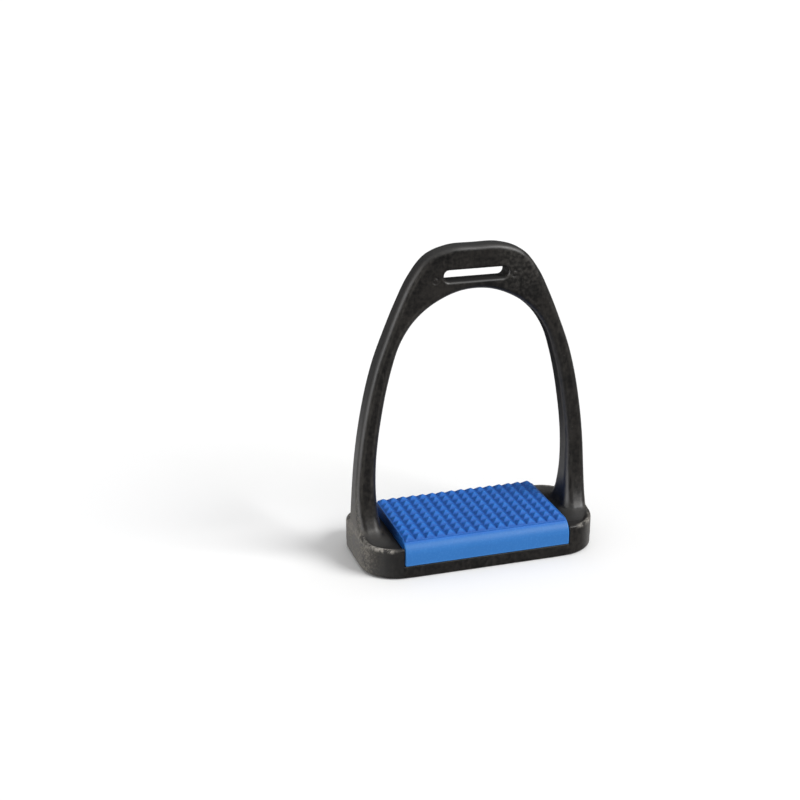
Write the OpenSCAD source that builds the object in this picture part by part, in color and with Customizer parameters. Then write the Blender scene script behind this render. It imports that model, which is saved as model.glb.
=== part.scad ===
// Stirrup iron: one-piece moulded nylon frame with a removable rubber tread.
// Millimetres, +Z up. Origin: centre of the footplate, on the plane it stands on.
// +X runs along the tread, -Y is the front (toe side).

/* [Footplate] */
// Length of the footplate over its two rounded ends
plate_l = 147.6; // [144:0.5:154]
// Depth of the footplate from front to rear
plate_d = 66.7; // [65.9:0.1:67.1]
// Height of the end lands above the ground
plate_h = 19; // [18.4:0.1:19.6]
// Radius of the two front corners of the footplate in plan
front_r = 21; // [16:0.5:24]
// Radius of the two rear corners of the footplate in plan
rear_r = 17; // [14:0.5:22]
// Height of the deck that carries the tread
deck_z = 16.2; // [15.8:0.1:16.6]
// Thickness of the deck
deck_t = 4; // [3:0.1:5]
// Thickness of the outer wall around the hollow underside
wall_t = 4; // [3:0.1:5]
// Thickness of the ribs under the deck
rib_t = 2.2; // [1.6:0.1:3]

/* [Arch and eye] */
// Distance of the arch's mid plane behind the middle of the whole stirrup
arch_y = 1.25; // [0:0.05:3]
// Depth of a leg, front to rear
leg_d = 13.6; // [12:0.1:15]
// Thickness of the eye plate, front to rear
eye_t = 12.6; // [11:0.1:14]
// Edge radius of legs and eye
edge_r = 3.6; // [2:0.1:4.5]

/* [Leather slot] */
// Length of the leather slot over its round ends
slot_l = 39.5; // [30:0.5:40]
// Height of the leather slot
slot_h = 6.4; // [5:0.1:6.6]
// Height of the slot's floor above the ground
slot_z = 170.05; // [169.5:0.05:170.5]

/* [Tread] */
// Length of the rubber tread
tread_l = 104; // [100:0.5:104.4]
// Depth of the tread over its front and rear skirts
tread_d = 65.6; // [64:0.2:67]
// Radius of the rounded nose, front and rear
nose_r = 9; // [7:0.1:10]
// Thickness of the skirts
skirt_t = 3; // [2:0.1:3.2]
// Height of the skirts' lower edge above the ground
skirt_z = 8; // [7:0.1:9]
// Height of the plain tread surface between the studs
face_z = 23.4; // [22:0.1:24]
// Side of one grip stud
pitch = 6.4; // [6:0.1:6.4]
// Height of one grip stud
stud_h = 2.8; // [1.5:0.1:3.2]
// Gap between tread and frame at its ends and skirts
gap = 0.4; // [0.3:0.05:0.6]

/* [Tread core and screws] */
// Thickness of the stiff core plate under the rubber
core_t = 2.4; // [2:0.1:2.6]
// Distance of the screws from the middle along the tread
screw_x = 35; // [33:0.5:37]
// Distance of the screws from the middle, front and rear
screw_y = 17; // [15:0.5:18]
// Screw thread diameter
screw_d = 4; // [3.5:0.1:4]
// Screw head diameter
head_d = 7.6; // [7:0.1:8]
// Screw head height
head_h = 2.8; // [2.2:0.1:2.9]
// Screw length under the head
screw_len = 11.5; // [10:0.5:11.5]
// Washer outer diameter
washer_d = 9; // [8.5:0.1:9.2]
// Washer thickness
washer_t = 0.8; // [0.5:0.1:0.9]

/* [Hidden] */
$fn = 48;
eps = 0.01;
studs_x = 16;
studs_y = 9;
web_z = 8.1;          // underside of the web that the washers bear on
web_t = 2.2;
boss_d = 13;
core_boss_d = 9;
core_z = deck_z + 0.2;
rim_r = 1.6;          // top edge radius of the footplate
foot_r = 0.8;         // bottom edge radius of the footplate
plate_y = 0.2;        // middle of the footplate in Y
tread_y = -0.75;      // middle of the tread in Y
c_frame = [0.13, 0.125, 0.12];
c_tread = [0.13, 0.42, 0.80];
c_core = [0.72, 0.71, 0.66];
c_steel = [0.70, 0.71, 0.72];

// Half of the arch from foot to crown. Each row is one cross-section:
// inner edge x, z, outer edge x, z, front y and rear y from the arch's mid plane, edge radius.
leg_h = leg_d / 2;
eye_h = eye_t / 2;
rows = [
  [54.0,  13.0, 73.2,  13.0, -22.0, 22.0, 6.0],
  [55.6,  18.4, 73.7,  18.4, -19.0, 18.5, 6.0],
  [58.2,  22.0, 73.8,  22.0, -14.6, 14.0, 5.6],
  [59.6,  27.0, 73.9,  27.0, -11.6, 11.2, 5.0],
  [60.4,  34.0, 73.9,  34.0, -9.1,   9.0, 4.2],
  [60.9,  46.0, 73.6,  46.0, -leg_h - 0.2, leg_h + 0.2, edge_r],
  [60.7,  61.0, 72.5,  61.0, -leg_h, leg_h, edge_r],
  [59.4,  76.0, 70.7,  76.5, -leg_h, leg_h, edge_r],
  [57.2,  91.0, 68.2,  92.0, -leg_h, leg_h, edge_r],
  [54.4, 106.0, 64.9, 108.0, -leg_h, leg_h, edge_r],
  [50.8, 120.4, 60.4, 124.4, -leg_h + 0.1, leg_h - 0.1, edge_r],
  [46.2, 134.0, 54.1, 141.2, -leg_h + 0.2, leg_h - 0.2, edge_r],
  [39.2, 145.4, 47.0, 158.0, -eye_h - 0.1, eye_h + 0.1, edge_r],
  [30.4, 153.8, 39.4, 172.9, -eye_h, eye_h, edge_r],
  [20.4, 159.7, 29.4, 184.8, -eye_h, eye_h, edge_r],
  [10.2, 163.3, 15.6, 189.9, -eye_h, eye_h, edge_r],
  [0,    164.4, 0,    190.1, -eye_h, eye_h, edge_r]];
last = len(rows) - 1;
function flip(r) = [-r[0], r[1], -r[2], r[3], r[4], r[5], r[6]];
function row(i) = i < 0 ? 2 * rows[0] - rows[1]
  : i <= last ? rows[i]
  : i <= 2 * last ? flip(rows[2 * last - i])
  : flip(2 * rows[0] - rows[1]);
function blend(a, b, c, d, t) = 0.5 * (2 * b + (c - a) * t
  + (2 * a - 5 * b + 4 * c - d) * t * t + (3 * b - a - 3 * c + d) * t * t * t);
function section(u) = let (i = min(floor(u), 2 * last - 1), t = u - i)
  blend(row(i - 1), row(i), row(i + 1), row(i + 2), t);
// Outline of one cross-section: a rectangle with four round corners.
corner = [0, 30, 60, 90];
function ring(r) = let (
    dx = r[2] - r[0], dz = r[3] - r[1], len = norm([dx, dz]),
    sx = dx / len, sz = dz / len, a = len / 2, b = (r[5] - r[4]) / 2,
    cy = arch_y + (r[5] + r[4]) / 2, cx = (r[0] + r[2]) / 2, cz = (r[1] + r[3]) / 2,
    rr = min(r[6], 0.92 * a, 0.92 * b))
  [for (q = [0:3], k = corner) let (
      ang = 90 * q + k,
      s = (q == 0 || q == 3 ? 1 : -1) * (a - rr) + rr * cos(ang),
      t = (q < 2 ? 1 : -1) * (b - rr) + rr * sin(ang))
    [cx + sx * s, cy + t, cz + sz * s]];

module arch() {
  step = 0.5;
  n = 2 * last / step;
  m = 16;
  pts = [for (i = [0:n]) each ring(section(i * step))];
  sides = [for (i = [0:n - 1], j = [0:m - 1]) each
    let (a = i * m + j, b = i * m + (j + 1) % m, c = a + m, d = b + m)
    [[a, d, b], [a, c, d]]];
  polyhedron(points = pts, faces = concat(sides,
    [[for (j = [0:m - 1]) j], [for (j = [m - 1:-1:0]) n * m + j]]), convexity = 6);
}

// Plan outline of the footplate, inset by c: round corners and slightly bowed ends.
function plan(c) = let (a = plate_l / 2 - c, b = plate_d / 2 - c, bow = 0.6)
  [for (q = [0:3], k = [0:6:90]) let (
      ang = 90 * q + k, r = (q < 2 ? rear_r : front_r) - c,
      sx = (q == 0 || q == 3 ? 1 : -1), sy = (q < 2 ? 1 : -1),
      x = sx * (a - bow - r) + r * cos(ang), y = sy * (b - r) + r * sin(ang))
    [x + sx * bow * max(0, 1 - pow(y / b, 2)), y]];

module rounded(w, h) {
  translate([-w / 2 + rim_r, foot_r]) square([w - 2 * rim_r, h - foot_r]);
  translate([-w / 2, foot_r]) square([w, h - foot_r - rim_r]);
  translate([-w / 2 + foot_r, 0]) square([w - 2 * foot_r, foot_r]);
  for (x = [-1, 1]) {
    translate([x * (w / 2 - rim_r), h - rim_r]) circle(rim_r);
    translate([x * (w / 2 - foot_r), foot_r]) circle(foot_r);
  }
}

module plate_body() {
  translate([0, plate_y, 0]) intersection() {
    linear_extrude(plate_h) polygon(plan(0));
    rotate([90, 0, 0]) translate([0, 0, -60]) linear_extrude(120) rounded(plate_l + 0.2, plate_h);
    rotate([90, 0, 90]) translate([0, 0, -90]) linear_extrude(180) rounded(plate_d, plate_h);
  }
}

module slot_cut() {
  r = slot_h / 2;
  translate([-slot_l / 2 + r, -30, slot_z]) cube([slot_l - slot_h, 60, slot_h]);
  for (x = [-slot_l / 2 + r, slot_l / 2 - r])
    translate([x, -30, slot_z + r]) rotate([-90, 0, 0]) cylinder(r = r, h = 60);
}

module frame_cuts() {
  w = tread_l + 2 * gap;
  front = tread_d / 2 - skirt_t - gap;
  // deck recess for the tread
  translate([-w / 2, -60, deck_z]) cube([w, 120, 12]);
  // recesses for the front and rear skirts, with a chamfer to the deck
  translate([0, tread_y, 0]) for (s = [0, 1]) mirror([0, s, 0]) translate([-w / 2, 0, 0]) rotate([90, 0, 90])
    linear_extrude(w) polygon([[-60, skirt_z - gap], [-front, skirt_z - gap],
      [-front, deck_z - 3], [-front + 3, deck_z + eps], [-60, deck_z + eps]]);
  // hollow underside
  difference() {
    translate([0, 0, -1]) linear_extrude(deck_z - deck_t + 1) intersection() {
      translate([0, plate_y]) polygon(plan(wall_t));
      translate([0, tread_y]) square([200, 2 * (front - wall_t + 0.6)], center = true);
    }
    ribs();
    at_screws() translate([0, 0, 3]) cylinder(d = boss_d, h = 20);
  }
  at_screws() {
    translate([0, 0, 1]) cylinder(d = washer_d + 0.8, h = web_z - 1);
    cylinder(d = screw_d + 0.4, h = 20);
    translate([0, 0, web_z + web_t]) cylinder(d = core_boss_d + 0.4, h = 10);
  }
}

module ribs() {
  for (x = [-52.5, -35, -17.5, 0, 17.5, 35, 52.5])
    translate([x - rib_t / 2, -40, 1.5]) cube([rib_t, 80, 20]);
  for (y = [-8.6, 8.6])
    translate([-80, tread_y + y - rib_t / 2, 1.5]) cube([160, rib_t, 20]);
}

module at_screws() {
  for (x = [-screw_x, screw_x], y = [-screw_y, screw_y])
    translate([x, tread_y + y, 0]) children();
}

module frame() color(c_frame) {
  difference() {
    union() {
      plate_body();
      arch();
    }
    frame_cuts();
    slot_cut();
  }
}

// Cross-section of the tread: deck, rounded nose and skirt at front and rear.
function nose(s) = let (cy = tread_d / 2 - nose_r, cz = face_z - nose_r)
  [for (k = s > 0 ? [0:7.5:90] : [90:-7.5:0]) [s * (cy + nose_r * cos(k)), cz + nose_r * sin(k)]];
module tread_profile() {
  yi = tread_d / 2 - skirt_t;
  polygon(concat([[tread_d / 2, skirt_z]], nose(1), nose(-1), [[-tread_d / 2, skirt_z],
    [-yi, skirt_z], [-yi, core_z - 3], [-yi + 3, core_z], [yi - 3, core_z], [yi, core_z - 3], [yi, skirt_z]]));
}
// Saw-tooth band, n teeth of one pitch, with its two outer flanks run down to the nose.
module teeth(n, drop) {
  w = n * pitch / 2;
  polygon(concat([[-w - drop * 0.12, face_z - drop]],
    [for (i = [0:n - 1]) each [[-w + i * pitch, i == 0 ? face_z : face_z],
      [-w + (i + 0.5) * pitch, face_z + stud_h]]],
    [[w, face_z], [w + drop * 0.12, face_z - drop]]));
}
module studs() {
  intersection() {
    rotate([90, 0, 0]) translate([0, 0, -40]) linear_extrude(80) teeth(studs_x, 2);
    rotate([90, 0, 90]) translate([0, 0, -60]) linear_extrude(120) teeth(studs_y, 2);
  }
}
module tread() color(c_tread) translate([0, tread_y, 0]) {
  difference() {
    union() {
      rotate([90, 0, 90]) translate([0, 0, -tread_l / 2]) linear_extrude(tread_l) tread_profile();
      studs();
    }
    // pocket for the core plate
    translate([-48.05, -25.05, core_z - 1]) cube([96.1, 50.1, core_t + 1.05]);
  }
}

module tread_core() color(c_core) {
  difference() {
    union() {
      translate([-48, tread_y - 25, core_z]) cube([96, 50, core_t]);
      at_screws() translate([0, 0, web_z + web_t + 0.3]) cylinder(d = core_boss_d, h = core_z - web_z - web_t);
    }
    at_screws() cylinder(d = screw_d + 0.1, h = 40);
  }
}

module one_screw() {
  difference() {
    union() {
      cylinder(d = screw_d, h = screw_len - 0.8);
      translate([0, 0, screw_len - 0.8 - eps]) cylinder(d1 = screw_d, d2 = screw_d - 1.4, h = 0.8);
      translate([0, 0, -head_h]) rotate_extrude() polygon([[0, 0.5], [head_d / 2 - 1.3, 0], [head_d / 2 - 0.4, 0.6],
        [head_d / 2, 1.4], [head_d / 2, head_h], [0, head_h]]);
    }
    for (a = [0, 90]) rotate([0, 0, a]) translate([-2.1, -0.45, -head_h - 1]) cube([4.2, 0.9, 2.6]);
  }
}
module tread_screws() color(c_steel)
  at_screws() translate([0, 0, web_z - washer_t - 0.06]) one_screw();

module screw_washers() color(c_steel)
  at_screws() translate([0, 0, web_z - washer_t - 0.05]) difference() {
      cylinder(d = washer_d, h = washer_t);
      translate([0, 0, -1]) cylinder(d = screw_d + 0.3, h = washer_t + 2);
    }

frame();
tread();
tread_core();
tread_screws();
screw_washers();
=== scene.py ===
"""Stirrup iron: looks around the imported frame. Lengths inside the shape functions are in millimetres."""

import math

import bpy
import numpy as np
from mathutils import Euler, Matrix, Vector


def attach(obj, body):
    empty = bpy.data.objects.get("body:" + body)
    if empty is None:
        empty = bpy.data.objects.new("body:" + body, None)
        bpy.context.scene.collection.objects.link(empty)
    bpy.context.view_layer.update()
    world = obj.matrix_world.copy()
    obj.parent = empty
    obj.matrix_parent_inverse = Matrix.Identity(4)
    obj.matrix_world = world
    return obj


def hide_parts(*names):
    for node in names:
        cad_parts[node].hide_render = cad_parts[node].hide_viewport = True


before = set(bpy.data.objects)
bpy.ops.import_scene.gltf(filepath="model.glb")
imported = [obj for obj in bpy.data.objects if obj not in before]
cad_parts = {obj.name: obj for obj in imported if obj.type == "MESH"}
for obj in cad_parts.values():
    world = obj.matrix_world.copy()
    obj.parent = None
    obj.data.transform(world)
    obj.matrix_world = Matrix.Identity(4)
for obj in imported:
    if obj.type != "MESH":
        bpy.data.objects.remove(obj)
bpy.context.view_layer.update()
MM = 0.001


# ---------------------------------------------------------------- shape helpers


def meet(a, b, r):
    """Both solids at once, with the edge between them rounded by r."""
    u = np.maximum(a + r, 0)
    v = np.maximum(b + r, 0)
    return np.minimum(-r, np.maximum(a, b)) + np.sqrt(u * u + v * v)


def join(a, b, r):
    """Either solid, with a fillet of radius r where they meet."""
    u = np.maximum(r - a, 0)
    v = np.maximum(r - b, 0)
    return np.maximum(r, np.minimum(a, b)) - np.sqrt(u * u + v * v)


def ease(t):
    t = np.clip(t, 0, 1)
    return t * t * (3 - 2 * t)


def nets(f, lo, hi, h, reach=None):
    """Quad mesh of the surface where f is 0, inside the box lo..hi, on a grid of step h."""
    n = [int(math.ceil((b - a) / h)) + 1 for a, b in zip(lo, hi)]
    ax = [a + h * np.arange(k) for a, k in zip(lo, n)]
    V = np.full(n, 9.0, np.float32)
    for k in range(0, n[2], 12):
        z = ax[2][k : k + 12]
        j0, j1 = 0, n[1]
        if reach is not None:
            ya, yb = reach(z[0])
            j0, j1 = np.searchsorted(ax[1], [ya, yb])
        V[:, j0:j1, k : k + 12] = f(
            ax[0][:, None, None].astype(np.float32),
            ax[1][None, j0:j1, None].astype(np.float32),
            z[None, None, :].astype(np.float32),
        )
    S = V < 0
    m = np.array(n) - 1
    stride = np.array([m[1] * m[2], m[2], 1])
    cells, points, quads = [], [], []
    for axis in range(3):
        a = [slice(None)] * 3
        b = [slice(None)] * 3
        a[axis], b[axis] = slice(0, -1), slice(1, None)
        i = np.argwhere(S[tuple(a)] != S[tuple(b)])
        j = i.copy()
        j[:, axis] += 1
        v0 = V[i[:, 0], i[:, 1], i[:, 2]].astype(float)
        v1 = V[j[:, 0], j[:, 1], j[:, 2]].astype(float)
        p = i.astype(float)
        p[:, axis] += v0 / (v0 - v1)
        o1, o2 = (axis + 1) % 3, (axis + 2) % 3
        four = []
        for d1, d2 in ((0, 0), (1, 0), (1, 1), (0, 1)):
            c = i.copy()
            c[:, o1] -= d1
            c[:, o2] -= d2
            four.append(c @ stride)
        four = np.stack(four, 1)
        inside = S[i[:, 0], i[:, 1], i[:, 2]]
        quads.append(np.where(inside[:, None], four[:, ::-1], four)[:, ::-1])
        cells.append(four.ravel())
        points.append(np.repeat(p, 4, axis=0))
    cells, points, quads = np.concatenate(cells), np.concatenate(points), np.concatenate(quads)
    ids, inv = np.unique(cells, return_inverse=True)
    count = np.bincount(inv)
    v = np.stack([np.bincount(inv, points[:, k]) / count for k in range(3)], 1)
    return v * h + np.array(lo), np.searchsorted(ids, quads)


def slope(f, p, e):
    g = np.empty_like(p)
    for k in range(3):
        d = np.zeros(3)
        d[k] = e
        a, b = p + d, p - d
        g[:, k] = (f(a[:, 0], a[:, 1], a[:, 2]) - f(b[:, 0], b[:, 1], b[:, 2])) / (2 * e)
    return g


def settle(f, p, steps, limit):
    """Moves points along f's slope until they lie on its surface."""
    start = p.copy()
    for _ in range(steps):
        g = slope(f, p, 0.02)
        s = f(p[:, 0], p[:, 1], p[:, 2])[:, None]
        p = p - s * g / np.maximum((g * g).sum(1, keepdims=True), 0.2)
        move = p - start
        far = np.linalg.norm(move, axis=1, keepdims=True)
        p = start + move * np.minimum(1, limit / np.maximum(far, 1e-9))
    return p


def mesh_object(name, v, faces):
    mesh = bpy.data.meshes.new(name)
    mesh.from_pydata((v * MM).tolist(), [], faces.tolist() if hasattr(faces, "tolist") else faces)
    mesh.validate()
    obj = bpy.data.objects.new(name, mesh)
    bpy.context.scene.collection.objects.link(obj)
    return obj


def coords(mesh):
    co = np.empty(len(mesh.vertices) * 3)
    mesh.vertices.foreach_get("co", co)
    return co.reshape(-1, 3) / MM


def solid(name, f, lo, hi, h, most=None, reach=None, soft=0.15, marks=None):
    """A smooth mesh of the solid f, its normals taken from f. marks gives named numbers for each point."""
    v, q = nets(f, lo, hi, h, reach)
    v = settle(f, v, 3, 0.8 * h)
    obj = mesh_object(name, v, q)
    faces = 2 * len(q)
    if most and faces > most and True:
        thin = obj.modifiers.new("thin", "DECIMATE")
        thin.ratio = most / faces
        thin.use_collapse_triangulate = True
        made = bpy.data.meshes.new_from_object(
            obj.evaluated_get(bpy.context.evaluated_depsgraph_get())
        )
        obj.modifiers.clear()
        obj.data = made
        made.name = name
    v = settle(f, coords(obj.data), 2, 0.3 * h)
    obj.data.vertices.foreach_set("co", (v * MM).ravel())
    g = slope(f, v, soft)
    g /= np.maximum(np.linalg.norm(g, axis=1, keepdims=True), 1e-9)
    obj.data.polygons.foreach_set("use_smooth", np.ones(len(obj.data.polygons), bool))
    obj.data.update()
    obj.data.normals_split_custom_set_from_vertices(g.tolist())
    if marks:
        for key, values in marks(v, g).items():
            at = obj.data.attributes.new(key, "FLOAT", "POINT")
            at.data.foreach_set("value", values.astype(np.float32))
    print(name, "faces", len(obj.data.polygons), "from", len(q), "quads")
    return obj


def edge_marks(f):
    """wear: how sharply the surface turns outwards. cavity: how much other surface stands around it, which the
    materials use to darken hollows as painted shade and dirt.
    """

    def marks(v, g):
        def at(d):
            p = v + g * d
            return f(p[:, 0], p[:, 1], p[:, 2])

        wear = np.clip(1 + at(-1.6) / 1.6, 0, 1) * 3.2
        cavity = sum(np.clip(1 - at(d) / d, 0, 1) for d in (1.5, 3.0, 6.0)) / 3
        end = np.abs(v[:, 0])
        out = ease((g[:, 0] * np.sign(v[:, 0]) - 0.46) / 0.48)
        # ridge: rounded edges of the legs and arch, where the nylon material paints a highlight streak
        ridge = np.clip((1 + at(-4.0) / 4.0) * 3.0 - 0.1, 0, 1) * ease((v[:, 2] - 21) / 5)
        ridge = ridge * (1 - ease((33 - end) / 6) * ease((v[:, 2] - 150) / 8))
        # lip: the footplate's rounded front rim at the ends, where the nylon material paints a light highlight in
        # strokes
        lip_highlight = ease((1.9 - np.abs(plan(v[:, 0], v[:, 1]) + 0.9)) / 1.2)
        lip_highlight = lip_highlight * ease((v[:, 2] - 16.6) / 1.4) * ease((24 - v[:, 2]) / 3) * ease((end - 55) / 7)
        lip_highlight = lip_highlight * (1 - 0.6 * ease((end - 67.5) / 4))
        # back: the outward faces of the upper arch, which the nylon material darkens as painted shade
        far = np.hypot(v[:, 0], v[:, 2] - 95) + 1e-6
        outer_arch_shade = (g[:, 0] * v[:, 0] + g[:, 2] * (v[:, 2] - 95)) / far
        outer_arch_shade = ease((outer_arch_shade - 0.62) / 0.33) * ease((v[:, 2] - 62) / 60)
        # dish and toe: the dished land and the front of the foot, which the nylon material darkens as painted shade
        dish_shade = ease((g[:, 2] - 0.6) / 0.3) * ease((end - 51) / 2)
        dish_shade = dish_shade * ease((21 - v[:, 2]) / 2.5) * ease((v[:, 2] - 14) / 1) * (1 - lip_highlight)
        toe = ease((-g[:, 1] - 0.35) / 0.4) * ease((24 - v[:, 2]) / 3) * ease((end - 52) / 3) * (1 - lip_highlight)
        return {
            "outer_arch_shade": outer_arch_shade,
            "dish_shade": dish_shade,
            "toe": toe,
            "wear": np.clip(wear, 0, 1) * ease((end - 53) / 6),
            "cavity": np.clip(cavity * 1.6, 0, 1),
            "outward": out,
            "ridge": ridge,
            "lip_highlight": lip_highlight,
        }

    return marks


# ---------------------------------------------------------------- the moulded frame

ARCH_Y, PLATE_Y, TREAD_Y = 1.25, 0.2, -0.75
LAND, DECK, HOLLOW = 19.0, 16.2, 12.2
SKIRT, LEDGE = 29.4, 7.6
RECESS_X = 52.4
# inner edge x, z, outer edge x, z, front y, rear y, edge radius, as in the CAD
ROWS = np.array(
    [
        [54.0, 13.0, 73.2, 13.0, -22.0, 22.0, 6.0],
        [55.6, 18.4, 73.7, 18.4, -19.0, 18.5, 6.0],
        [58.2, 22.0, 73.8, 22.0, -14.6, 14.0, 5.6],
        [59.6, 27.0, 73.9, 27.0, -11.6, 11.2, 5.0],
        [60.4, 34.0, 73.9, 34.0, -9.1, 9.0, 4.2],
        [60.9, 46.0, 73.6, 46.0, -7.0, 7.0, 3.6],
        [60.7, 61.0, 72.5, 61.0, -6.8, 6.8, 3.6],
        [59.4, 76.0, 70.7, 76.5, -6.8, 6.8, 3.6],
        [57.2, 91.0, 68.2, 92.0, -6.8, 6.8, 3.6],
        [54.4, 106.0, 64.9, 108.0, -6.8, 6.8, 3.6],
        [50.8, 120.4, 60.4, 124.4, -6.7, 6.7, 3.6],
        [46.2, 134.0, 54.1, 141.2, -6.6, 6.6, 3.6],
        [39.2, 145.4, 47.0, 158.0, -6.4, 6.4, 3.6],
        [30.4, 153.8, 39.4, 172.9, -6.3, 6.3, 3.6],
        [20.4, 159.7, 29.4, 184.8, -6.3, 6.3, 3.6],
        [10.2, 163.3, 15.6, 189.9, -6.3, 6.3, 3.6],
        [0.0, 164.4, 0.0, 190.35, -6.3, 6.3, 3.6],
    ]
)


def sections(per=14):
    flip = np.array([-1, 1, -1, 1, 1, 1, 1])
    r = np.vstack([2 * ROWS[0] - ROWS[1], ROWS, ROWS[-2] * flip])
    t = (np.arange(per) / per)[:, None]
    out = []
    for i in range(1, len(r) - 2):
        a, b, c, d = r[i - 1], r[i], r[i + 1], r[i + 2]
        out.append(
            0.5
            * (
                2 * b
                + (c - a) * t
                + (2 * a - 5 * b + 4 * c - d) * t**2
                + (3 * b - a - 3 * c + d) * t**3
            )
        )
    out.append(r[-2:-1])
    return np.vstack(out)


SEC = sections()


class Outline:
    """Signed distance to the arch's front outline, for x of either sign."""

    def __init__(self, step):
        inner = np.vstack([[54.0, 7.0], SEC[:, 0:2]])
        outer = np.vstack([[73.2, 7.0], SEC[:, 2:4]])
        self.step, self.x0, self.z0 = step, -2 * step, 3.0
        x = self.x0 + step * np.arange(int(84 / step))
        z = self.z0 + step * np.arange(int(198 / step))
        X, Z = np.meshgrid(x, z, indexing="ij")
        X = np.abs(X)
        best = np.full(X.shape, 1e9)
        odd = np.zeros(X.shape, bool)
        ring = [(inner, True), (outer, True)]
        ring.append((np.array([inner[0], outer[0]]), False))
        ring.append((np.array([inner[-1], outer[-1]]), False))
        for line, counts in ring:
            for (ax, az), (bx, bz) in zip(line[:-1], line[1:]):
                if counts:
                    dx, dz = bx - ax, bz - az
                    t = np.clip(((X - ax) * dx + (Z - az) * dz) / (dx * dx + dz * dz), 0, 1)
                    best = np.minimum(best, (X - ax - t * dx) ** 2 + (Z - az - t * dz) ** 2)
                if az != bz:
                    at = ax + (Z - az) * (bx - ax) / (bz - az)
                    odd ^= ((az > Z) != (bz > Z)) & (X < at)
        self.v = np.where(odd, -1.0, 1.0) * np.sqrt(best)

    def __call__(self, x, z):
        u = np.clip((np.abs(x) - self.x0) / self.step, 0, self.v.shape[0] - 1.01)
        w = np.clip((z - self.z0) / self.step, 0, self.v.shape[1] - 1.01)
        i, j = u.astype(int), w.astype(int)
        a, b = u - i, w - j
        v = self.v
        return (v[i, j] * (1 - a) + v[i + 1, j] * a) * (1 - b) + (
            v[i, j + 1] * (1 - a) + v[i + 1, j + 1] * a
        ) * b


outline = Outline(0.4)
_z = (SEC[:, 1] + SEC[:, 3]) / 2
_order = np.argsort(_z)
KZ = _z[_order]
K_HALF = ((SEC[:, 5] - SEC[:, 4]) / 2)[_order]
K_MID = ((SEC[:, 5] + SEC[:, 4]) / 2)[_order]
K_R = SEC[:, 6][_order]
K_TILT = np.sqrt(1 + np.gradient(K_HALF, KZ + 1e-6 * np.arange(len(KZ))) ** 2)

SLOT_Z, SLOT_HALF, SLOT_R = 173.25, 16.55, 3.2


def arch(x, y, z):
    d2 = outline(x, z)
    half = np.interp(z, KZ, K_HALF)
    q = (np.abs(y - ARCH_Y - np.interp(z, KZ, K_MID)) - half) / np.interp(z, KZ, K_TILT)
    r = np.interp(z, KZ, K_R)
    d = meet(d2, q, r)
    # leather slot, its front and rear edges rounded
    s = np.sqrt(np.maximum(np.abs(x) - SLOT_HALF, 0) ** 2 + (z - SLOT_Z) ** 2) - SLOT_R
    d = np.maximum(d, meet(-s, q, 2.1))
    # two shallow round ejector marks on the front of the eye
    ring = np.minimum(
        np.sqrt((x + 25.0) ** 2 + (z - 171.2) ** 2), np.sqrt((x - 23.3) ** 2 + (z - 172.1) ** 2)
    )
    dent = 0.32 * np.exp(-(((ring - 1.7) / 0.6) ** 2)) - 0.15 * np.exp(-((ring / 0.9) ** 2))
    return d + np.where(y < ARCH_Y, dent, 0)


def plan(x, y):
    """Distance to the footplate's plan outline."""
    v = y - PLATE_Y
    b = 33.35
    r = np.where(v < 0, 21.0, 17.0)
    u = np.abs(x) + 0.6 * np.minimum((v / b) ** 2, 1)
    qx, qy = u - 73.8 + r, np.abs(v) - b + r
    return (
        np.sqrt(np.maximum(qx, 0) ** 2 + np.maximum(qy, 0) ** 2)
        + np.minimum(np.maximum(qx, qy), 0)
        - r
    )


def plate(x, y, z):
    dp = plan(x, y)
    top = LAND - 2.0 * ease((-dp - 1.7) / 3.0)
    d = meet(dp, z - top, 1.1)
    return meet(d, -z, 0.9 + 1.4 * ease((np.abs(x) - 42) / 24))


def cavity(x, y, z):
    """The hollow underside, with its ribs and screw bosses."""
    v = np.abs(y - TREAD_Y)
    d = np.maximum(plan(x, y) + 4.0, v - 26.0)
    half = 0.95 + 0.022 * z
    rx = np.abs(x - 17.5 * np.clip(np.round(x / 17.5), -3, 3)) - half
    ry = np.abs(v - 8.6) - half
    ribs = np.maximum(np.minimum(rx, ry), 1.5 - z)
    boss = np.maximum(np.sqrt((np.abs(x) - 35) ** 2 + (v - 17) ** 2) - 6.3 - 0.02 * z, 3.0 - z)
    d = meet(d, z - HOLLOW, 0.8)
    d = meet(d, -ribs, 0.6)
    return meet(d, -boss, 0.6)


def moulding(x, y, z):
    d = join(plate(x, y, z), arch(x, y, z), 3.5)
    d = np.maximum(d, plan(x, y) - 0.12)  # flush where the leg's outer side meets the plate's end
    # recess for the tread: deck, and front and rear skirts
    v = np.abs(y - TREAD_Y)
    g = np.minimum(DECK - z, np.maximum(SKIRT - v, LEDGE - z))
    g = np.minimum(g, np.maximum((SKIRT + DECK - 3.0 - v - z) * 0.7071, LEDGE - z))
    recess = np.maximum(np.maximum(np.abs(x) - RECESS_X, g), z - 28.0)
    d = meet(d, -recess, 0.5)
    d = meet(d, -cavity(x, y, z), 0.5)
    # screw seats and holes
    rho = np.sqrt((np.abs(x) - 35) ** 2 + (v - 17) ** 2)
    hole = np.minimum(rho - 2.2, np.maximum(rho - 4.9, z - 8.1))
    hole = np.minimum(hole, np.maximum(rho - 4.7, 10.3 - z))
    hole = np.maximum(hole, z - 28.0)
    return meet(d, -hole, 0.25)


def arch_reach(z):
    return (-36.5, 36.5) if z < 46 else (-8.5, 11.0)


h_frame = 0.62
frame_look = solid(
    "frame_moulding",
    moulding,
    (-76.0, -35.5, -2.0),
    (76.0, 35.8, 192.6),
    h_frame,
    most=196000,
    reach=arch_reach,
    soft=0.25,
    marks=edge_marks(moulding),
)
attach(frame_look, "frame_body")
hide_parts("frame")


# ---------------------------------------------------------------- the rubber tread

PITCH, STUD, BASE = 6.4, 2.2, 2.62


def face(y):
    """Height of the floor between the studs, a little higher at the rear."""
    return 23.65 + 0.0235 * np.clip(y - TREAD_Y, -33, 33)


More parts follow.
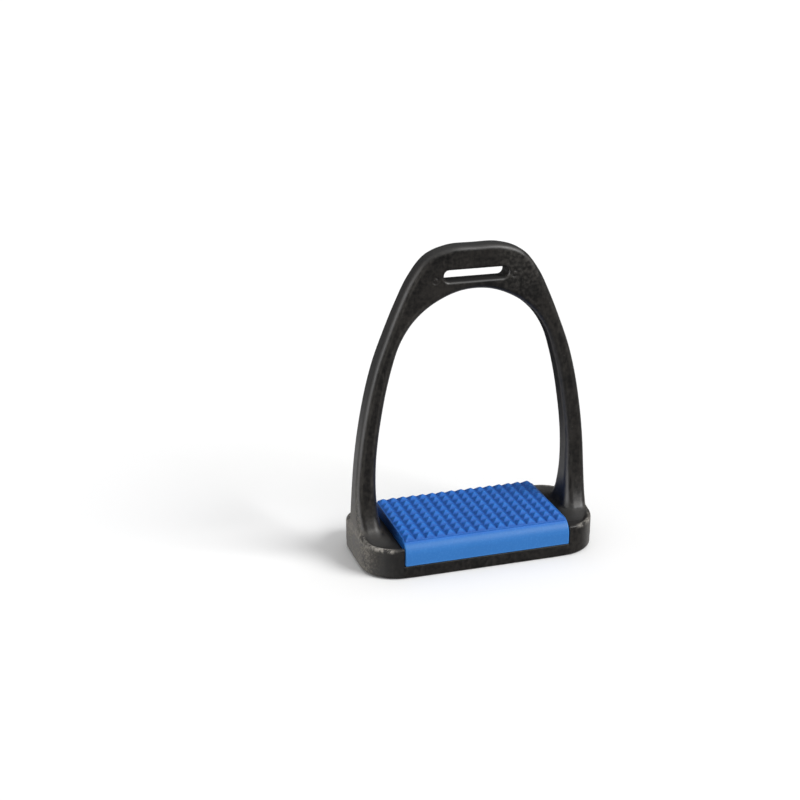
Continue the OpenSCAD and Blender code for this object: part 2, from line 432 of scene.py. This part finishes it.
def tread_shape(x, y, z):
    v = np.abs(y - TREAD_Y)
    d = meet(v - 32.8, z - face(y), 8.4)
    d = meet(d, 8.0 - z, 0.45)
    under = np.maximum(
        np.maximum(z - 16.4, v - 29.8), (v + z - 43.2) * 0.7071
    )
    d = meet(d, -under, 0.3)
    d = meet(d, np.abs(x) - 52.0, 0.75)
    # pyramid studs
    u = np.abs(np.mod(x, PITCH) - PITCH / 2)
    w = np.abs(np.mod(y - TREAD_Y + PITCH / 2, PITCH) - PITCH / 2)
    a, b = np.sqrt(u * u + 0.09), np.sqrt(w * w + 0.09)
    k = 0.4
    m = np.maximum(a, b) + np.maximum(k - np.abs(a - b), 0) ** 2 / (4 * k)
    stud = (z - face(y) - STUD * (1 - m / BASE) - 0.22) * 0.766
    stud = meet(stud, np.maximum(np.abs(x) - 51.0, v - 28.9), 0.3)
    stud = np.maximum(stud, face(y) - 3.0 - z)
    d = join(d, stud, 0.35)
    # pocket for the core plate
    pocket = np.maximum(np.maximum(np.abs(x) - 48.05, v - 25.05), z - 18.85)
    return np.maximum(d, -pocket)


def tread_marks(v, g):
    z = v[:, 2] - face(v[:, 1])
    tip = np.clip(z / STUD, 0, 1)
    y = np.abs(v[:, 1] - TREAD_Y)
    on_top = ease((30.0 - y) / 2) * ease((51.6 - np.abs(v[:, 0])) / 0.6) * ease((v[:, 2] - 21) / 1.5)
    # valley: the floor between the studs, which the rubber material darkens as painted shade and dirt
    valley_dirt_and_shade = on_top * np.clip(1 - tip / 0.5, 0, 1)
    p = v - g * 1.2
    wear = np.clip(1 + tread_shape(p[:, 0], p[:, 1], p[:, 2]) / 1.2, 0, 1) * 3
    # flank: the tread's end walls, darkest towards the rear, which the rubber material darkens as painted shade
    flank_shade = ease((np.abs(v[:, 0]) - 51.2) / 0.6) * ease((30.5 - y) / 3)
    flank_shade = flank_shade * (0.25 + 0.75 * ease((v[:, 1] + 27) / 16))
    # nose: the rounded front edge of the tread, which the rubber material lightens as painted highlight
    nose = ease((y - 28.6) / 2.2) * ease((33.5 - y) / 0.4)
    return {
        "tip": tip * on_top,
        "valley_dirt_and_shade": valley_dirt_and_shade,
        "wear": np.clip(wear, 0, 1),
        "flank_shade": flank_shade,
        "nose": nose,
    }


h_tread = 0.4
tread_look = solid(
    "tread_rubber",
    tread_shape,
    (-53.8 - h_tread / 2, TREAD_Y - 34.4 - h_tread / 2, 6.4 - h_tread / 2),
    (53.8, TREAD_Y + 34.6, 27.6),
    h_tread,
    most=190000,
    soft=0.1,
    marks=tread_marks,
)
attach(tread_look, "tread_body")
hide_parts("tread")


# ---------------------------------------------------------------- core plate, screws and washers


def core_shape(x, y, z):
    v = np.abs(y - TREAD_Y)
    d = meet(meet(np.abs(x) - 48.0, v - 25.0, 1.0), np.abs(z - 17.6) - 1.2, 0.35)
    rho = np.sqrt((np.abs(x) - 35) ** 2 + (v - 17) ** 2)
    boss = meet(rho - 4.5, np.abs(z - 13.8) - 3.2, 0.35)
    d = join(d, boss, 0.5)
    return meet(d, -(rho - 2.05), 0.3)


core_look = solid(
    "tread_core_plate",
    core_shape,
    (-49.5, TREAD_Y - 26.5, 9.3),
    (49.5, TREAD_Y + 26.5, 20.1),
    0.55,
    most=80000,
    soft=0.12,
    marks=edge_marks(core_shape),
)
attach(core_look, "tread_body")
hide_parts("tread_core")

HEAD_Z = 7.24  # where the screw heads bear


def screw_shape(x, y, z):
    """One screw on the Z axis: head below 0, shank above."""
    r = np.sqrt(x * x + y * y)
    turn = np.arctan2(y, x) / (2 * math.pi)
    pitch = 1.4
    phase = np.mod(z / pitch - turn, 1.0)
    ridge = np.clip(1 - np.abs(phase - 0.5) / 0.3, 0, 1)
    ridge = ridge * ease((z - 0.9) / 0.9) * ease((11.2 - z) / 2.2)
    radius = 1.48 + 0.48 * ridge - 0.5 * np.clip((z - 9.9) / 1.5, 0, 1)
    shank = np.maximum((r - radius) * 0.8, np.maximum(z - 11.42, -0.3 - z))
    head = meet(meet(r - 3.78, -z - 2.78, 1.35), z + 0.02, 0.2)
    d = join(shank, head, 0.2)
    t = z + 2.8
    half_w, half_l = 0.48 - 0.1 * t, 2.05 - 0.7 * t
    cross = np.minimum(
        np.maximum(np.abs(x) - half_l, np.abs(y) - half_w),
        np.maximum(np.abs(y) - half_l, np.abs(x) - half_w),
    )
    return meet(d, -np.maximum(cross, t - 1.7), 0.12)


one = solid(
    "one_screw",
    screw_shape,
    (-4.3, -4.3, -3.3),
    (4.3, 4.3, 12.0),
    0.2,
    most=24000,
    soft=0.05,
)
v1 = coords(one.data)
g1 = slope(screw_shape, v1, 0.05)
g1 /= np.maximum(np.linalg.norm(g1, axis=1, keepdims=True), 1e-9)
f1 = [list(p.vertices) for p in one.data.polygons]
bpy.data.objects.remove(one)
vs, fs, ns = [], [], []
for i, (sx, sy, turn) in enumerate(((-1, -1, 17), (1, -1, 58), (-1, 1, 96), (1, 1, 141))):
    a = math.radians(turn)
    rot = np.array([[math.cos(a), -math.sin(a), 0], [math.sin(a), math.cos(a), 0], [0, 0, 1]])
    vs.append(v1 @ rot.T + np.array([35 * sx, TREAD_Y + 17 * sy, HEAD_Z]))
    ns.append(g1 @ rot.T)
    fs += [[k + i * len(v1) for k in face] for face in f1]
screws = mesh_object("tread_screws_threaded", np.vstack(vs), fs)
screws.data.polygons.foreach_set("use_smooth", np.ones(len(screws.data.polygons), bool))
screws.data.normals_split_custom_set_from_vertices(np.vstack(ns).tolist())
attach(screws, "screws_body")
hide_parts("tread_screws")


def washer_ring(cx, cy, z0, n=72):
    r0, r1, t, e = 2.15, 4.48, 0.8, 0.14
    prof = []
    for px, pz, a0 in ((r1 - e, e, -90), (r1 - e, t - e, 0), (r0 + e, t - e, 90), (r0 + e, e, 180)):
        for k in range(5):
            a = math.radians(a0 + 22.5 * k)
            prof.append((px + e * math.cos(a), pz + e * math.sin(a)))
    m = len(prof)
    v = [
        (cx + r * math.cos(2 * math.pi * i / n), cy + r * math.sin(2 * math.pi * i / n), z0 + z)
        for i in range(n)
        for r, z in prof
    ]
    q = [
        [i * m + j, ((i + 1) % n) * m + j, ((i + 1) % n) * m + (j + 1) % m, i * m + (j + 1) % m]
        for i in range(n)
        for j in range(m)
    ]
    return v, q


vs, fs = [], []
for sx in (-1, 1):
    for sy in (-1, 1):
        v, q = washer_ring(35 * sx, TREAD_Y + 17 * sy, 7.25)
        fs += [[k + len(vs) for k in face] for face in q]
        vs += v
washers = mesh_object("screw_washers_turned", np.array(vs), fs)
washers.data.polygons.foreach_set("use_smooth", np.ones(len(washers.data.polygons), bool))
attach(washers, "screws_body")
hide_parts("screw_washers")


# ---------------------------------------------------------------- materials


class Look:
    """A material and its node tree, with short calls for the nodes used here. Texture space is in millimetres."""

    def __init__(self, name):
        self.mat = bpy.data.materials.new(name)
        self.mat.use_nodes = True
        self.t = self.mat.node_tree
        self.t.nodes.clear()
        self.out = self.t.nodes.new("ShaderNodeOutputMaterial")
        self.bsdf = self.t.nodes.new("ShaderNodeBsdfPrincipled")
        self.t.links.new(self.bsdf.outputs[0], self.out.inputs[0])
        tc = self.t.nodes.new("ShaderNodeTexCoord")
        self.mm = self.vec("MULTIPLY", tc.outputs["Object"], (1000, 1000, 1000))

    def put(self, socket, value):
        if isinstance(value, bpy.types.NodeSocket):
            self.t.links.new(value, socket)
        else:
            socket.default_value = value

    def vec(self, op, a, b):
        n = self.t.nodes.new("ShaderNodeVectorMath")
        n.operation = op
        self.put(n.inputs[0], a)
        self.put(n.inputs[1], b)
        return n.outputs[0]

    def math(self, op, a, b=0.0, clamp=False):
        n = self.t.nodes.new("ShaderNodeMath")
        n.operation = op
        n.use_clamp = clamp
        self.put(n.inputs[0], a)
        self.put(n.inputs[1], b)
        return n.outputs[0]

    def noise(self, scale, detail=3.0, rough=0.5, stretch=None, distort=0.0):
        n = self.t.nodes.new("ShaderNodeTexNoise")
        n.inputs["Scale"].default_value = scale
        n.inputs["Detail"].default_value = detail
        n.inputs["Roughness"].default_value = rough
        n.inputs["Distortion"].default_value = distort
        self.put(n.inputs["Vector"], self.vec("MULTIPLY", self.mm, stretch) if stretch else self.mm)
        return n.outputs["Fac"]

    def cells(self, scale, feature="F1", random=1.0):
        n = self.t.nodes.new("ShaderNodeTexVoronoi")
        n.feature = feature
        n.inputs["Scale"].default_value = scale
        n.inputs["Randomness"].default_value = random
        self.put(n.inputs["Vector"], self.mm)
        return n.outputs["Distance"]

    def span(self, value, a, b, c=0.0, d=1.0, smooth=True):
        n = self.t.nodes.new("ShaderNodeMapRange")
        n.interpolation_type = "SMOOTHSTEP" if smooth else "LINEAR"
        self.put(n.inputs["Value"], value)
        for key, x in (("From Min", a), ("From Max", b), ("To Min", c), ("To Max", d)):
            n.inputs[key].default_value = x
        return n.outputs["Result"]

    def mix(self, fac, a, b):
        n = self.t.nodes.new("ShaderNodeMix")
        n.data_type = "RGBA"
        self.put(n.inputs["Factor"], fac)
        self.put(n.inputs["A"], a if isinstance(a, bpy.types.NodeSocket) else (*a, 1))
        self.put(n.inputs["B"], b if isinstance(b, bpy.types.NodeSocket) else (*b, 1))
        return n.outputs["Result"]

    def part(self, axis):
        n = self.t.nodes.new("ShaderNodeSeparateXYZ")
        self.put(n.inputs[0], self.mm)
        return n.outputs[axis]

    def attr(self, name):
        n = self.t.nodes.new("ShaderNodeAttribute")
        n.attribute_name = name
        return n.outputs["Fac"]

    def normal(self):
        n = self.t.nodes.new("ShaderNodeNewGeometry")
        return n.outputs["Normal"]

    def bump(self, height, distance, strength=1.0, under=None):
        n = self.t.nodes.new("ShaderNodeBump")
        n.inputs["Strength"].default_value = strength
        n.inputs["Distance"].default_value = distance
        self.put(n.inputs["Height"], height)
        if under is not None:
            self.put(n.inputs["Normal"], under)
        return n.outputs[0]

    def set(self, **sockets):
        for key, value in sockets.items():
            s = self.bsdf.inputs[key.replace("_", " ")]
            if isinstance(value, tuple) and s.type == "RGBA":
                value = (*value, 1)
            self.put(s, value)
        return self.mat


def nylon_look():
    k = Look("black_nylon")
    broad = k.noise(0.045, 3, 0.55)
    mottle = k.noise(0.42, 5, 0.62)
    grain = k.noise(3.2, 2, 0.5)
    streak = k.noise(1.0, 3, 0.6, stretch=(1.4, 1.4, 0.12))
    wear, hollow_dirt_and_shade = k.attr("wear"), k.attr("cavity")
    z, x = k.part("Z"), k.part("X")
    low = k.span(z, 62, 12)
    end = k.span(k.math("ABSOLUTE", x), 60, 74)
    # body colour: warm black with faint brown and grey mottling
    tone = k.math("ADD", k.math("MULTIPLY", broad, 0.4), k.math("MULTIPLY", mottle, 0.6))
    base = k.mix(k.span(tone, 0.38, 0.62), (0.0020, 0.0017, 0.0015), (0.0145, 0.0124, 0.0104))
    # dust and scuffs, thick on the worn lower ends, together with painted highlights on the edges and the eye
    side = k.span(x, -20, 20, 1.0, 0.5)
    outward = k.math("MULTIPLY", k.attr("outward"), side)
    # scuffs: soft patches broken up by finer ones, and short strokes along the edges: real wear on the worn ends mixed
    # with painted highlights on the leg ridges and the footplate rim
    patch = k.span(k.noise(0.13, 3, 0.55), 0.34, 0.60)
    fine = k.span(k.noise(0.62, 7, 0.7), 0.44, 0.60)
    spots = k.math("ADD", k.math("MULTIPLY", patch, 0.28), k.math("MULTIPLY", fine, 0.72))
    scuff = k.math("MULTIPLY", k.math("MULTIPLY", spots, low), k.math("ADD", k.math("MULTIPLY", end, 0.05), k.math("MULTIPLY", outward, 0.95)))
    stroke = k.span(k.noise(0.5, 5, 0.65, stretch=(1.0, 1.0, 0.45), distort=1.0), 0.40, 0.62)
    # painted highlight: a light streak along the rounded edges of the legs, stronger on the left
    line = k.math("MULTIPLY", k.attr("ridge"), k.span(k.noise(0.3, 4, 0.6, stretch=(1, 1, 0.35)), 0.3, 0.6, 0.35, 1.0))
    line = k.math("MULTIPLY", line, k.span(x, -20, 20, 0.36, 0.14))
    # edge: edge wear plus painted highlights on the ridges and the rim, in strokes, stronger on the left
    edge = k.math("ADD", k.math("MULTIPLY", k.attr("ridge"), 0.42), k.math("MULTIPLY", k.attr("lip_highlight"), 1.0))
    edge = k.math("ADD", edge, k.math("MULTIPLY", wear, 0.35), clamp=True)
    edge = k.math("MULTIPLY", k.math("MULTIPLY", edge, stroke), k.math("ADD", 0.34, k.math("MULTIPLY", low, 0.66)))
    edge = k.math("MULTIPLY", edge, k.span(x, -20, 20, 1.0, 0.5))
    # painted highlight: a soft light patch on the eye's front, right of the slot, added to the dust streaks
    eye = k.math("MULTIPLY", k.span(x, 8, 24), k.span(z, 150, 176))
    eye = k.math("MULTIPLY", eye, k.span(mottle, 0.40, 0.62, 0.25, 1.0))
    dust_and_eye_sheen = k.math("ADD", k.math("MULTIPLY", k.span(streak, 0.5, 0.75), 0.05), k.math("MULTIPLY", eye, 0.07))
    scuffs_and_highlights = k.math("ADD", k.math("ADD", scuff, line), k.math("ADD", edge, dust_and_eye_sheen), clamp=True)
    colour = k.mix(scuffs_and_highlights, base, (0.205, 0.190, 0.166))
    # painted highlight along the footplate's front rim, in strokes, stronger on the left
    rim_painted_highlight = k.math("MULTIPLY", k.math("MULTIPLY", k.attr("lip_highlight"), stroke), k.span(x, -20, 20, 0.8, 0.35))
    colour = k.mix(rim_painted_highlight, colour, (0.36, 0.34, 0.31))
    specks = k.math("MULTIPLY", k.span(k.cells(0.33), 0.1, 0.05), k.span(k.noise(0.12, 2), 0.5, 0.6))
    colour = k.mix(k.math("MULTIPLY", specks, 0.5), colour, (0.11, 0.105, 0.095))
    # hollows darkened: painted shade and dirt
    colour = k.mix(k.math("MULTIPLY", hollow_dirt_and_shade, 0.6), colour, (0.005, 0.0045, 0.004))
    # painted shade: the outside of the upper arch is darkened, and it is rougher
    outer_arch_shade = k.attr("outer_arch_shade")
    colour = k.mix(k.math("MULTIPLY", outer_arch_shade, 0.85), colour, (0.0022, 0.0019, 0.0016))
    # painted shade: the dished land at the ends and the front of the left foot are darkened, and rougher
    dish_shade = k.attr("dish_shade")
    toe = k.math("MULTIPLY", k.attr("toe"), k.span(x, -20, 20, 1.0, 0.0))
    colour = k.mix(k.math("MULTIPLY", dish_shade, 0.6), colour, (0.0026, 0.0022, 0.0018))
    colour = k.mix(k.math("MULTIPLY", toe, 0.55), colour, (0.006, 0.0054, 0.0048))
    rough = k.math("ADD", 0.24, k.math("MULTIPLY", mottle, 0.3))
    rough = k.math("ADD", rough, k.math("MULTIPLY", outer_arch_shade, 0.30))
    rough = k.math("ADD", rough, k.math("MULTIPLY", k.math("ADD", dish_shade, toe), 0.22))
    rough = k.math("ADD", rough, k.math("MULTIPLY", scuffs_and_highlights, 0.6))
    rough = k.math("ADD", rough, k.math("MULTIPLY", hollow_dirt_and_shade, 0.35))
    height = k.math("ADD", k.math("MULTIPLY", mottle, 0.7), k.math("MULTIPLY", grain, 0.22))
    height = k.math("ADD", height, k.math("MULTIPLY", k.math("MULTIPLY", k.noise(0.7, 6, 0.7), low), 1.1))
    height = k.math("ADD", height, k.math("MULTIPLY", k.noise(0.11, 2, 0.5), 1.6))
    return k.set(
        Base_Color=colour,
        Roughness=rough,
        Specular_IOR_Level=0.44,
        Normal=k.bump(height, 0.00007, 0.9),
    )


def rubber_look():
    k = Look("blue_rubber")
    broad = k.noise(0.05, 3, 0.55)
    mottle = k.noise(0.6, 5, 0.6)
    grain = k.noise(5.0, 2, 0.5)
    tip, valley_dirt_and_shade, wear = k.attr("tip"), k.attr("valley_dirt_and_shade"), k.attr("wear")
    tone = k.math("ADD", k.math("MULTIPLY", broad, 0.6), k.math("MULTIPLY", mottle, 0.4))
    base = k.mix(k.span(tone, 0.36, 0.64), (0.003, 0.098, 0.40), (0.005, 0.122, 0.47))
    # the floor between the studs darkened: painted shade and dirt
    base = k.mix(k.math("MULTIPLY", valley_dirt_and_shade, 0.65), base, (0.002, 0.036, 0.22))
    # painted highlight: the rounded front nose made lighter and paler blue
    base = k.mix(k.math("MULTIPLY", k.attr("nose"), 0.85), base, (0.019, 0.134, 0.385))
    # painted shade on the tread's end walls, deepest towards the rear
    base = k.mix(k.math("MULTIPLY", k.attr("flank_shade"), 0.85), base, (0.002, 0.016, 0.085))
    bloom = k.math("MULTIPLY", k.span(k.noise(0.8, 5, 0.65), 0.45, 0.7), 0.14)
    bloom = k.math("ADD", bloom, k.math("MULTIPLY", k.span(tip, 0.6, 1.0), 0.10))
    bloom = k.math("ADD", bloom, k.math("MULTIPLY", k.span(wear, 0.3, 1.0), 0.16), clamp=True)
    colour = k.mix(bloom, base, (0.075, 0.27, 0.62))
    rough = k.math("ADD", 0.36, k.math("MULTIPLY", mottle, 0.2))
    rough = k.math("ADD", rough, k.math("MULTIPLY", valley_dirt_and_shade, 0.2))
    height = k.math("ADD", k.math("MULTIPLY", mottle, 0.6), k.math("MULTIPLY", grain, 0.3))
    return k.set(
        Base_Color=colour,
        Roughness=rough,
        Specular_IOR_Level=0.32,
        Normal=k.bump(height, 0.00005, 0.8),
    )


def core_nylon_look():
    k = Look("natural_nylon")
    mottle = k.noise(0.35, 4, 0.55)
    flow = k.noise(0.5, 4, 0.6, stretch=(0.25, 1.0, 1.0), distort=0.6)
    hollow_dirt_and_shade = k.attr("cavity")
    colour = k.mix(k.span(flow, 0.35, 0.65), (0.50, 0.47, 0.39), (0.60, 0.57, 0.48))
    # hollows darkened: painted shade and dirt
    colour = k.mix(k.math("MULTIPLY", hollow_dirt_and_shade, 0.5), colour, (0.22, 0.19, 0.14))
    height = k.math("ADD", k.math("MULTIPLY", mottle, 0.6), k.math("MULTIPLY", k.noise(4.0, 2), 0.3))
    return k.set(
        Base_Color=colour,
        Roughness=k.math("ADD", 0.38, k.math("MULTIPLY", mottle, 0.15)),
        Subsurface_Weight=0.08,
        Subsurface_Radius=(0.004, 0.003, 0.002),
        Normal=k.bump(height, 0.00005, 0.6),
    )


def steel_look():
    k = Look("zinc_steel")
    fine = k.noise(6.0, 4, 0.6, stretch=(1, 1, 0.3))
    blot = k.noise(0.6, 4, 0.55)
    colour = k.mix(k.span(blot, 0.4, 0.65), (0.52, 0.52, 0.51), (0.40, 0.40, 0.40))
    return k.set(
        Base_Color=colour,
        Metallic=1.0,
        Roughness=k.math("ADD", 0.24, k.math("MULTIPLY", fine, 0.2)),
        Normal=k.bump(fine, 0.00002, 0.5),
    )


nylon, rubber, core_nylon, steel = nylon_look(), rubber_look(), core_nylon_look(), steel_look()
for obj, mat in (
    (frame_look, nylon),
    (tread_look, rubber),
    (core_look, core_nylon),
    (screws, steel),
    (washers, steel),
):
    obj.data.materials.clear()
    obj.data.materials.append(mat)
for name, mat in (
    ("frame", nylon),
    ("tread", rubber),
    ("tread_core", core_nylon),
    ("tread_screws", steel),
    ("screw_washers", steel),
):
    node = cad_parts[name]
    for s in node.material_slots:
        s.material = mat


# ---------------------------------------------------------------- floor, light and camera

scene = bpy.context.scene
scene.view_settings.view_transform = "Standard"
scene.view_settings.look = "None"

side = 14.0
floor = mesh_object(
    "floor",
    np.array([[-side, -side, 0], [side, -side, 0], [side, side, 0], [-side, side, 0]]) * 1000,
    [[0, 1, 2, 3]],
)
floor.location.z = -0.0002
k = Look("pale_floor")
k.set(
    Base_Color=k.mix(k.span(k.noise(0.004, 3), 0.35, 0.65), (0.86, 0.86, 0.855), (0.88, 0.88, 0.88)),
    Roughness=0.75,
    Specular_IOR_Level=0.2,
)
floor.data.materials.append(k.mat)
floor.visible_glossy = False  # reflections show the studio drawn in the world below



class Studio(Look):
    """The world: even white light, and for reflections a room with a bright left wall and a bright ceiling."""

    def __init__(self):
        self.world = bpy.data.worlds.new("studio")
        self.world.use_nodes = True
        self.t = self.world.node_tree
        self.t.nodes.clear()
        self.out = self.t.nodes.new("ShaderNodeOutputWorld")
        self.bg = self.t.nodes.new("ShaderNodeBackground")
        self.t.links.new(self.bg.outputs[0], self.out.inputs[0])
        self.mm = self.t.nodes.new("ShaderNodeTexCoord").outputs["Generated"]
        self.path = self.t.nodes.new("ShaderNodeLightPath")

    def toward(self, x, y, z):
        n = self.t.nodes.new("ShaderNodeVectorMath")
        n.operation = "DOT_PRODUCT"
        self.put(n.inputs[0], self.mm)
        size = math.sqrt(x * x + y * y + z * z)
        self.put(n.inputs[1], (x / size, y / size, z / size))
        return n.outputs["Value"]


k = Studio()
scene.world = k.world
up = k.part("Z")
ceiling = k.span(up, 0.35, 0.9, 0.05, 1.3)
table = k.span(k.part("Y"), -0.3, 0.5, 0.20, 0.85)
below = k.span(up, 0.02, -0.06)
room = k.math("ADD", k.math("MULTIPLY", table, below), k.math("MULTIPLY", ceiling, k.math("SUBTRACT", 1.0, below)))
left = k.math("MULTIPLY", k.span(k.toward(-0.93, -0.30, 0.10), 0.80, 0.96), 5.0)
room = k.math("ADD", room, left)
glossy = k.path.outputs["Is Glossy Ray"]
k.put(k.bg.inputs["Color"], k.mix(k.span(up, 0.0, 1.0), (0.92, 0.92, 0.93), (1.0, 1.0, 1.0)))
k.put(
    k.bg.inputs["Strength"],
    k.math(
        "ADD",
        k.math("ADD", k.math("MULTIPLY", glossy, room), k.math("MULTIPLY", k.math("SUBTRACT", 1.0, glossy), 0.68)),
        k.math("MULTIPLY", k.path.outputs["Is Camera Ray"], 0.4),
    ),
)


def sun(name, azimuth, elevation, spread, strength):
    """Soft light from far away. Azimuth in degrees: 0 is the front, 90 the right."""
    data = bpy.data.lights.new(name, "SUN")
    data.energy = strength
    data.angle = math.radians(spread)
    obj = bpy.data.objects.new(name, data)
    bpy.context.scene.collection.objects.link(obj)
    a, e = math.radians(azimuth), math.radians(elevation)
    to = Vector((math.sin(a) * math.cos(e), -math.cos(a) * math.cos(e), math.sin(e)))
    obj.rotation_euler = to.to_track_quat("Z", "Y").to_euler()
    return obj


sun("key", 48, 36, 34, 2.9)

# a black flag behind the object, seen only in its reflections
flag = mesh_object(
    "flag",
    np.array([[-60.0, 130, 2], [85, 130, 2], [85, 130, 165], [-60, 130, 165]]),
    [[0, 1, 2, 3]],
)
k = Look("flag_cloth")
k.set(
    Base_Color=k.mix(k.noise(0.08, 3), (0.006, 0.009, 0.018), (0.010, 0.013, 0.022)),
    Roughness=0.9,
    Specular_IOR_Level=0.1,
)
flag.data.materials.append(k.mat)
flag.visible_camera = flag.visible_diffuse = flag.visible_shadow = False

cam_data = bpy.data.cameras.new("camera")
cam_data.sensor_width = 36
cam_data.lens = 62.39
cam = bpy.data.objects.new("camera", cam_data)
scene.collection.objects.link(cam)
cam.location = (-0.2764, -0.72955, 0.3741)
cam.rotation_euler = Euler((math.radians(70.28), 0, math.radians(-17.6)), "XYZ")
scene.camera = cam
